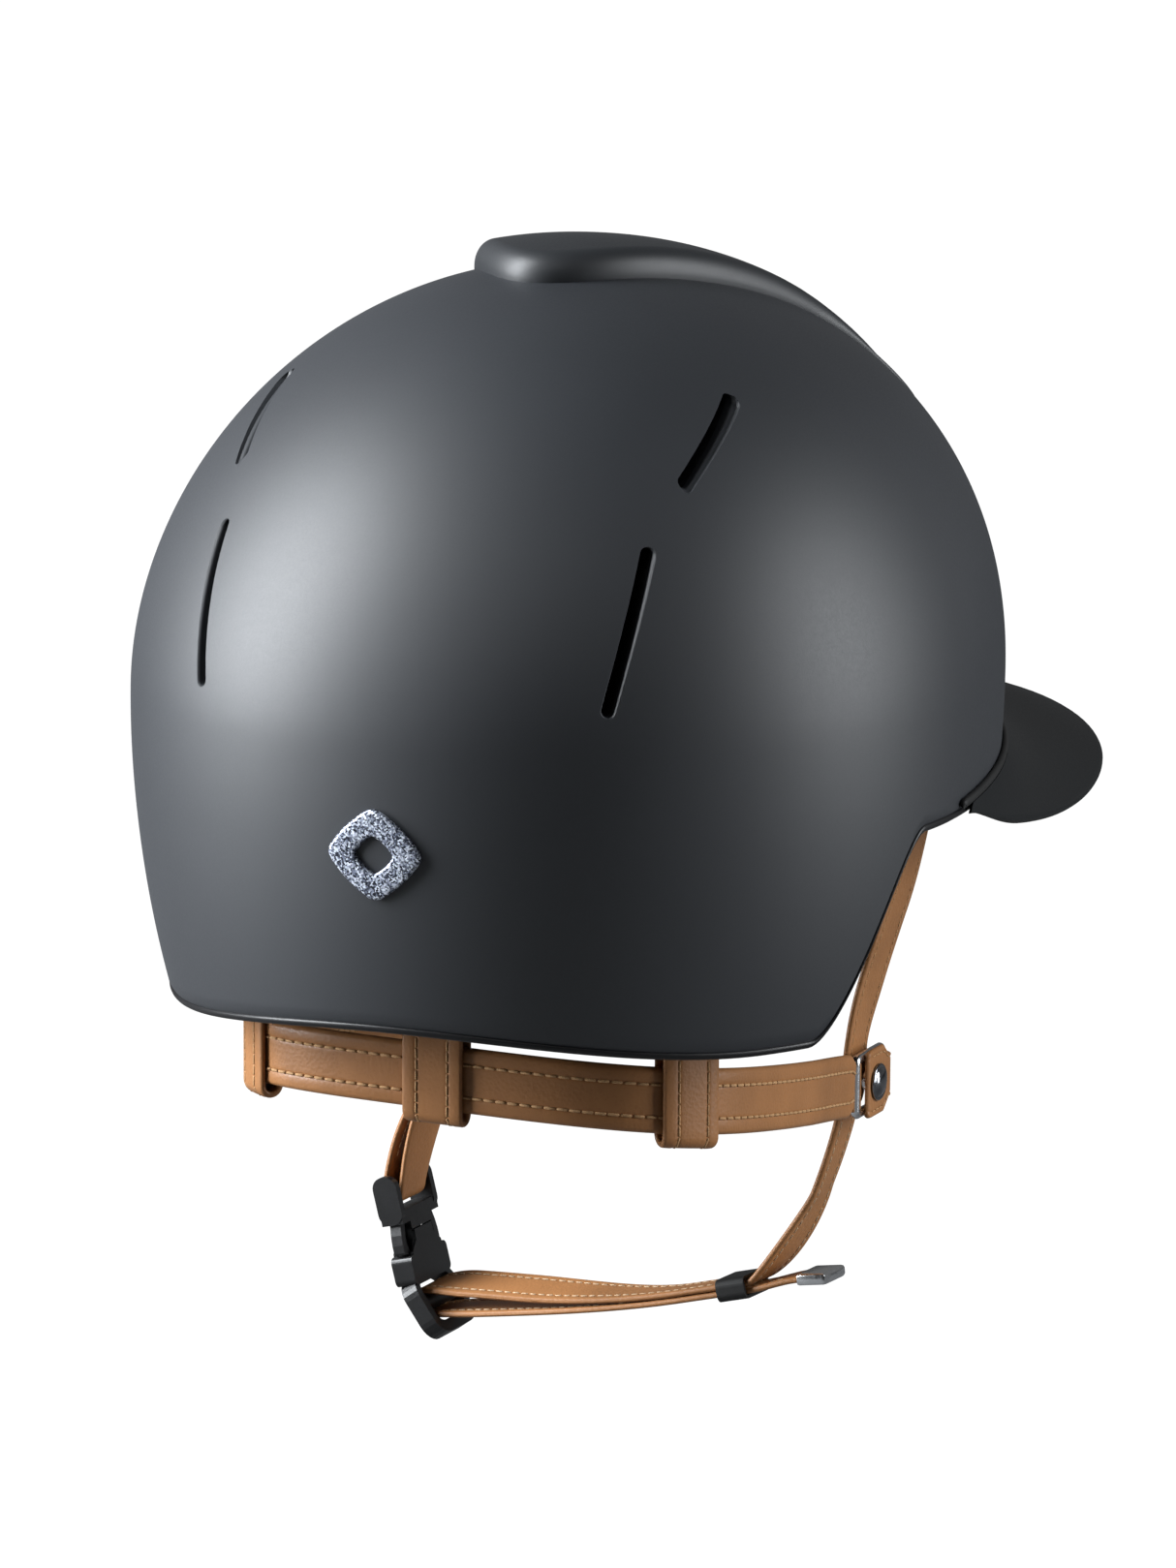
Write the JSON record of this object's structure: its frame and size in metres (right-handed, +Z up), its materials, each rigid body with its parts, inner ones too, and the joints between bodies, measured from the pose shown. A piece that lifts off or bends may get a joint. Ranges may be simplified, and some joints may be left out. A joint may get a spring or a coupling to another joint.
{
  "type": "riding helmet",
  "caption": "Riding helmet with a visor, a raised crest cover, slit vents, padding and a leather harness with a side-release chin buckle.",
  "frame": {"origin": "on the middle plane, at the shell's widest level and widest section", "axes": "+X to the front (visor), +Y to the wearer's left, +Z up"},
  "size_m": [0.3405, 0.2292, 0.3223],
  "materials": {
    "shell": "matte charcoal paint",
    "crest": "satin charcoal paint",
    "black_plastic": "moulded black",
    "black_rubber": "black",
    "rim_trim": "gloss black",
    "badge": "glitter",
    "foam": "moulded bead foam",
    "pad_fabric": "knitted mesh",
    "hook_fabric": "hook and loop",
    "leather": "smooth tan, stitched",
    "chrome": "polished"
  },
  "bodies": {
    "helmet": {"outer_shell": "shell", "crest_cover": "crest", "front_grille": "black_plastic", "visor": "shell", "visor_seal": "black_rubber", "rim_trim": "rim_trim", "badge": "badge", "shock_liner": "foam", "headband_pad": "pad_fabric", "crown_pad": "pad_fabric", "hook_dots": "hook_fabric", "anchor_plates": "black_plastic", "anchor_screws": "chrome", "nape_band": "leather", "hanger_centre": "leather", "hanger_left": "leather", "hanger_right": "leather", "temple_strap_left": "leather", "temple_strap_right": "leather", "side_ring_left": "chrome", "side_ring_right": "chrome", "snap_stud_left": "chrome", "snap_stud_right": "chrome"},
    "flap_left": {"keeper_flap_left": "leather", "snap_cap_left": "chrome"},
    "flap_right": {"keeper_flap_right": "leather", "snap_cap_right": "chrome"},
    "chin_upper": {"strap_eyelet_left": "chrome", "strap_eyelet_right": "chrome", "chin_strap_left": "leather", "chin_strap_right": "leather", "buckle_male": "black_plastic"},
    "prong_front": {"buckle_prong_front": "black_plastic"},
    "prong_rear": {"buckle_prong_rear": "black_plastic"},
    "chin_lower": {"chin_loop_strap": "leather", "strap_tip": "chrome", "buckle_female": "black_plastic"},
    "slider": {"strap_slider": "black_plastic"}
  },
  "joints": [
    {"name": "chin_swing", "type": "hinge", "parent": "helmet", "child": "chin_upper", "pos_m": [0.06, 0, -0.116], "axis": [0, -1, 0], "range_deg": [-25, 45]},
    {"name": "buckle_release", "type": "hinge", "parent": "chin_upper", "child": "chin_lower", "pos_m": [0.06, -0.05452, -0.14723], "axis": [-1, 0, 0], "range_deg": [0, 60]},
    {"name": "prong_front_squeeze", "type": "hinge", "parent": "chin_upper", "child": "prong_front", "pos_m": [0.06829, 0.07121, -0.16724], "axis": [0.0436, 0.9694, -0.2417], "range_deg": [0, 7]},
    {"name": "prong_rear_squeeze", "type": "hinge", "parent": "chin_upper", "child": "prong_rear", "pos_m": [0.05171, 0.07191, -0.16741], "axis": [-0.0436, -0.9694, 0.2417], "range_deg": [0, 7]},
    {"name": "slider_travel", "type": "slide", "parent": "chin_lower", "child": "slider", "axis": [0, 0.9703, -0.2419], "range_m": [0, 0.012]},
    {"name": "flap_left_open", "type": "hinge", "parent": "helmet", "child": "flap_left", "pos_m": [0.0697, 0.0674, -0.116], "axis": [0, 0, -1], "range_deg": [0, 110]},
    {"name": "flap_right_open", "type": "hinge", "parent": "helmet", "child": "flap_right", "pos_m": [0.0697, -0.0674, -0.116], "axis": [0, 0, 1], "range_deg": [0, 110]}
  ]
}
